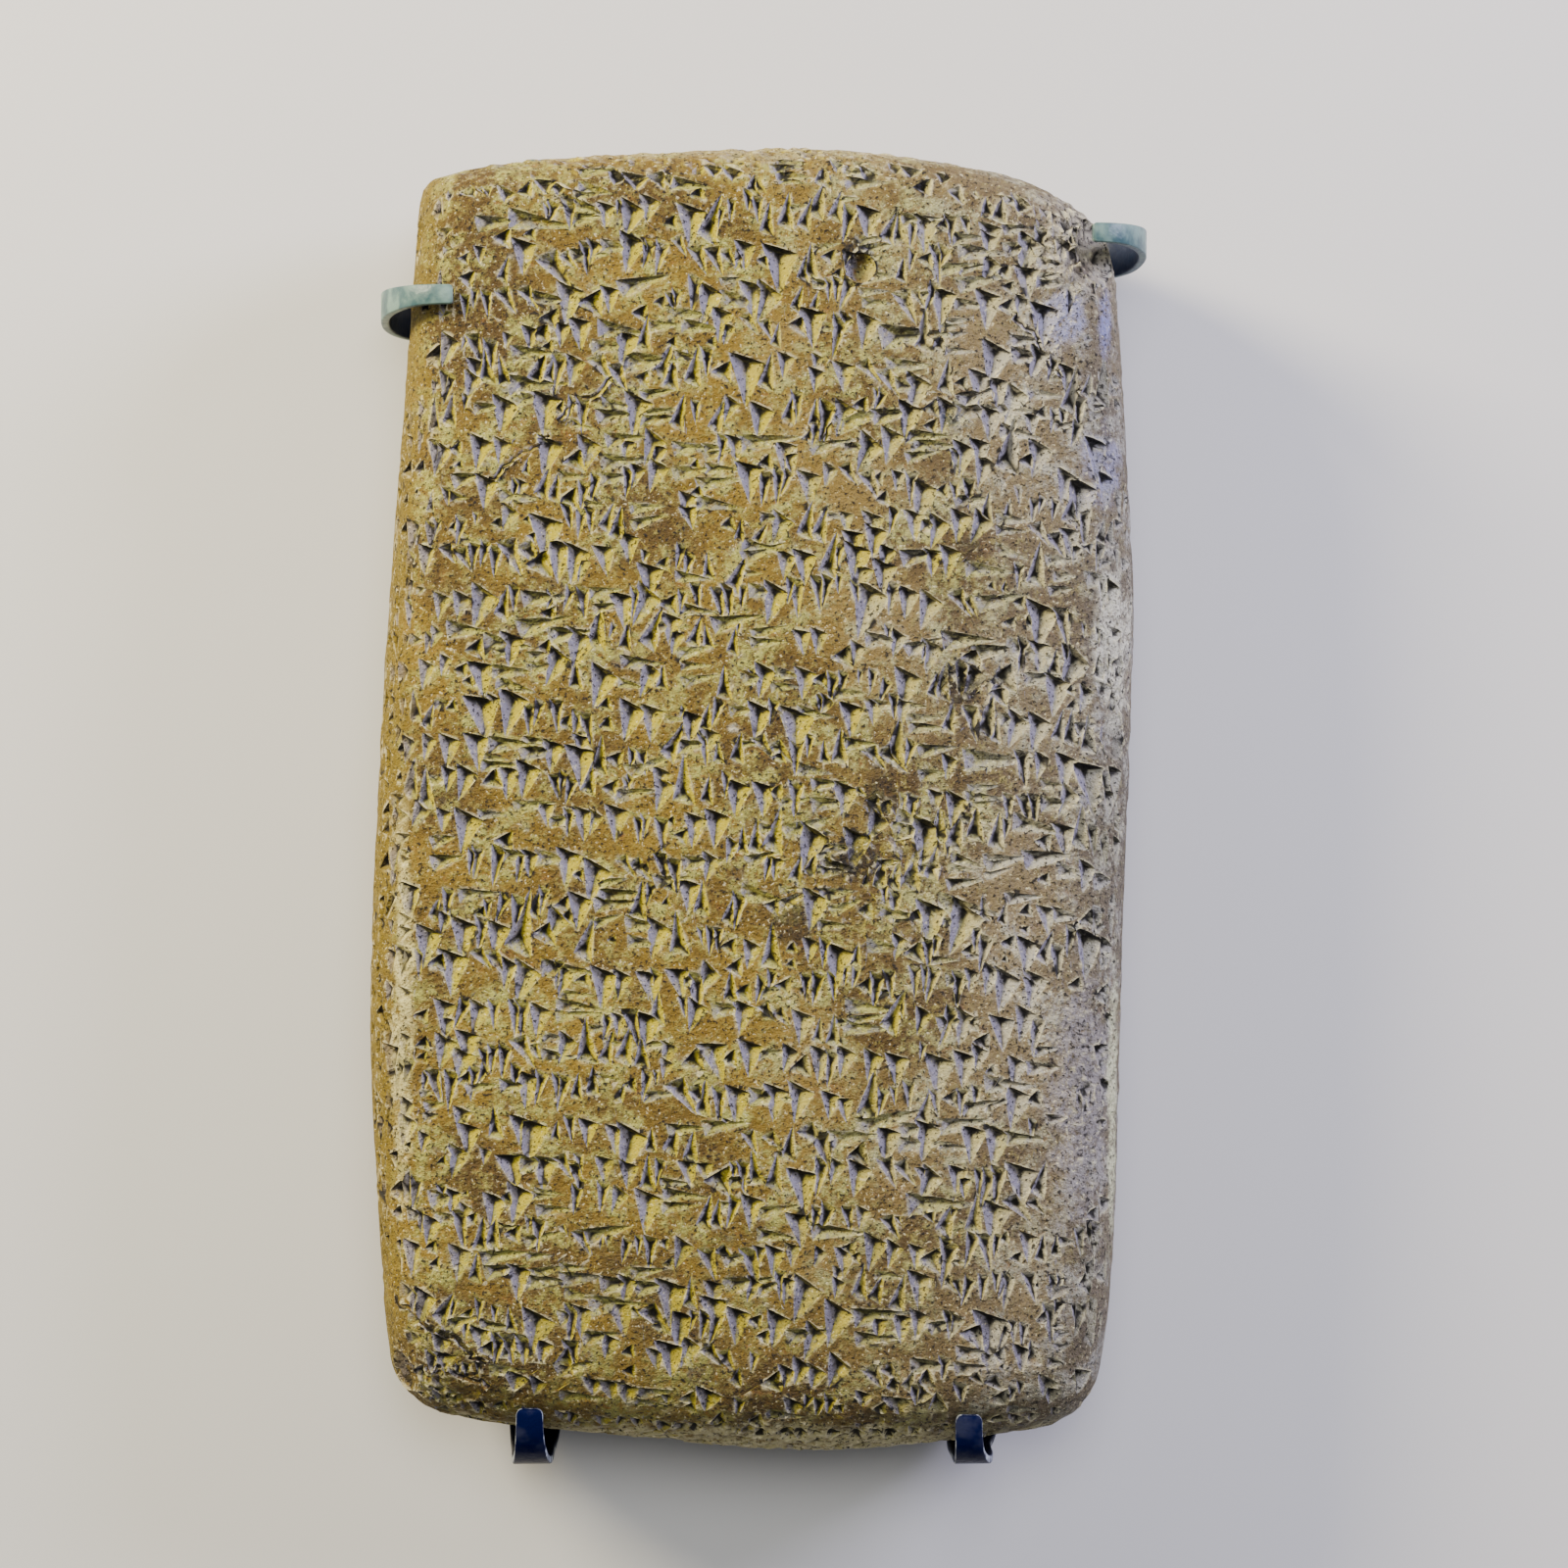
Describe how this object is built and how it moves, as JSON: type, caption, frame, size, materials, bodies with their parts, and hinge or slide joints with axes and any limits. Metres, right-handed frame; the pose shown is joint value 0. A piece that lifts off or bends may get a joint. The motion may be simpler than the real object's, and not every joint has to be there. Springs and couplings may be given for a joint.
{
  "type": "cuneiform tablet",
  "caption": "Letter-sized clay tablet lying on its back, its face covered in rows of wedge strokes, with bent metal claws gripping its rim",
  "frame": {"origin": "the middle of the flat spot on the back that the tablet lies on", "axes": "+X to the right of the written face as it is read, +Y to its top edge, +Z out of the written face"},
  "size_m": [0.0943, 0.1589, 0.0282],
  "materials": {
    "clay": "matt baked clay, ochre brown where handled, paler yellow-green inside the pressed strokes, grey and cream where scraped",
    "grey_paint": "satin pale green-grey paint, rubbed at the edges",
    "navy_paint": "gloss dark navy paint with bright worn edges"
  },
  "bodies": {
    "root": {"tablet": "clay", "claw_upper_left": "grey_paint", "claw_upper_right": "grey_paint", "claw_lower_left": "navy_paint", "claw_lower_right": "navy_paint"}
  },
  "joints": []
}
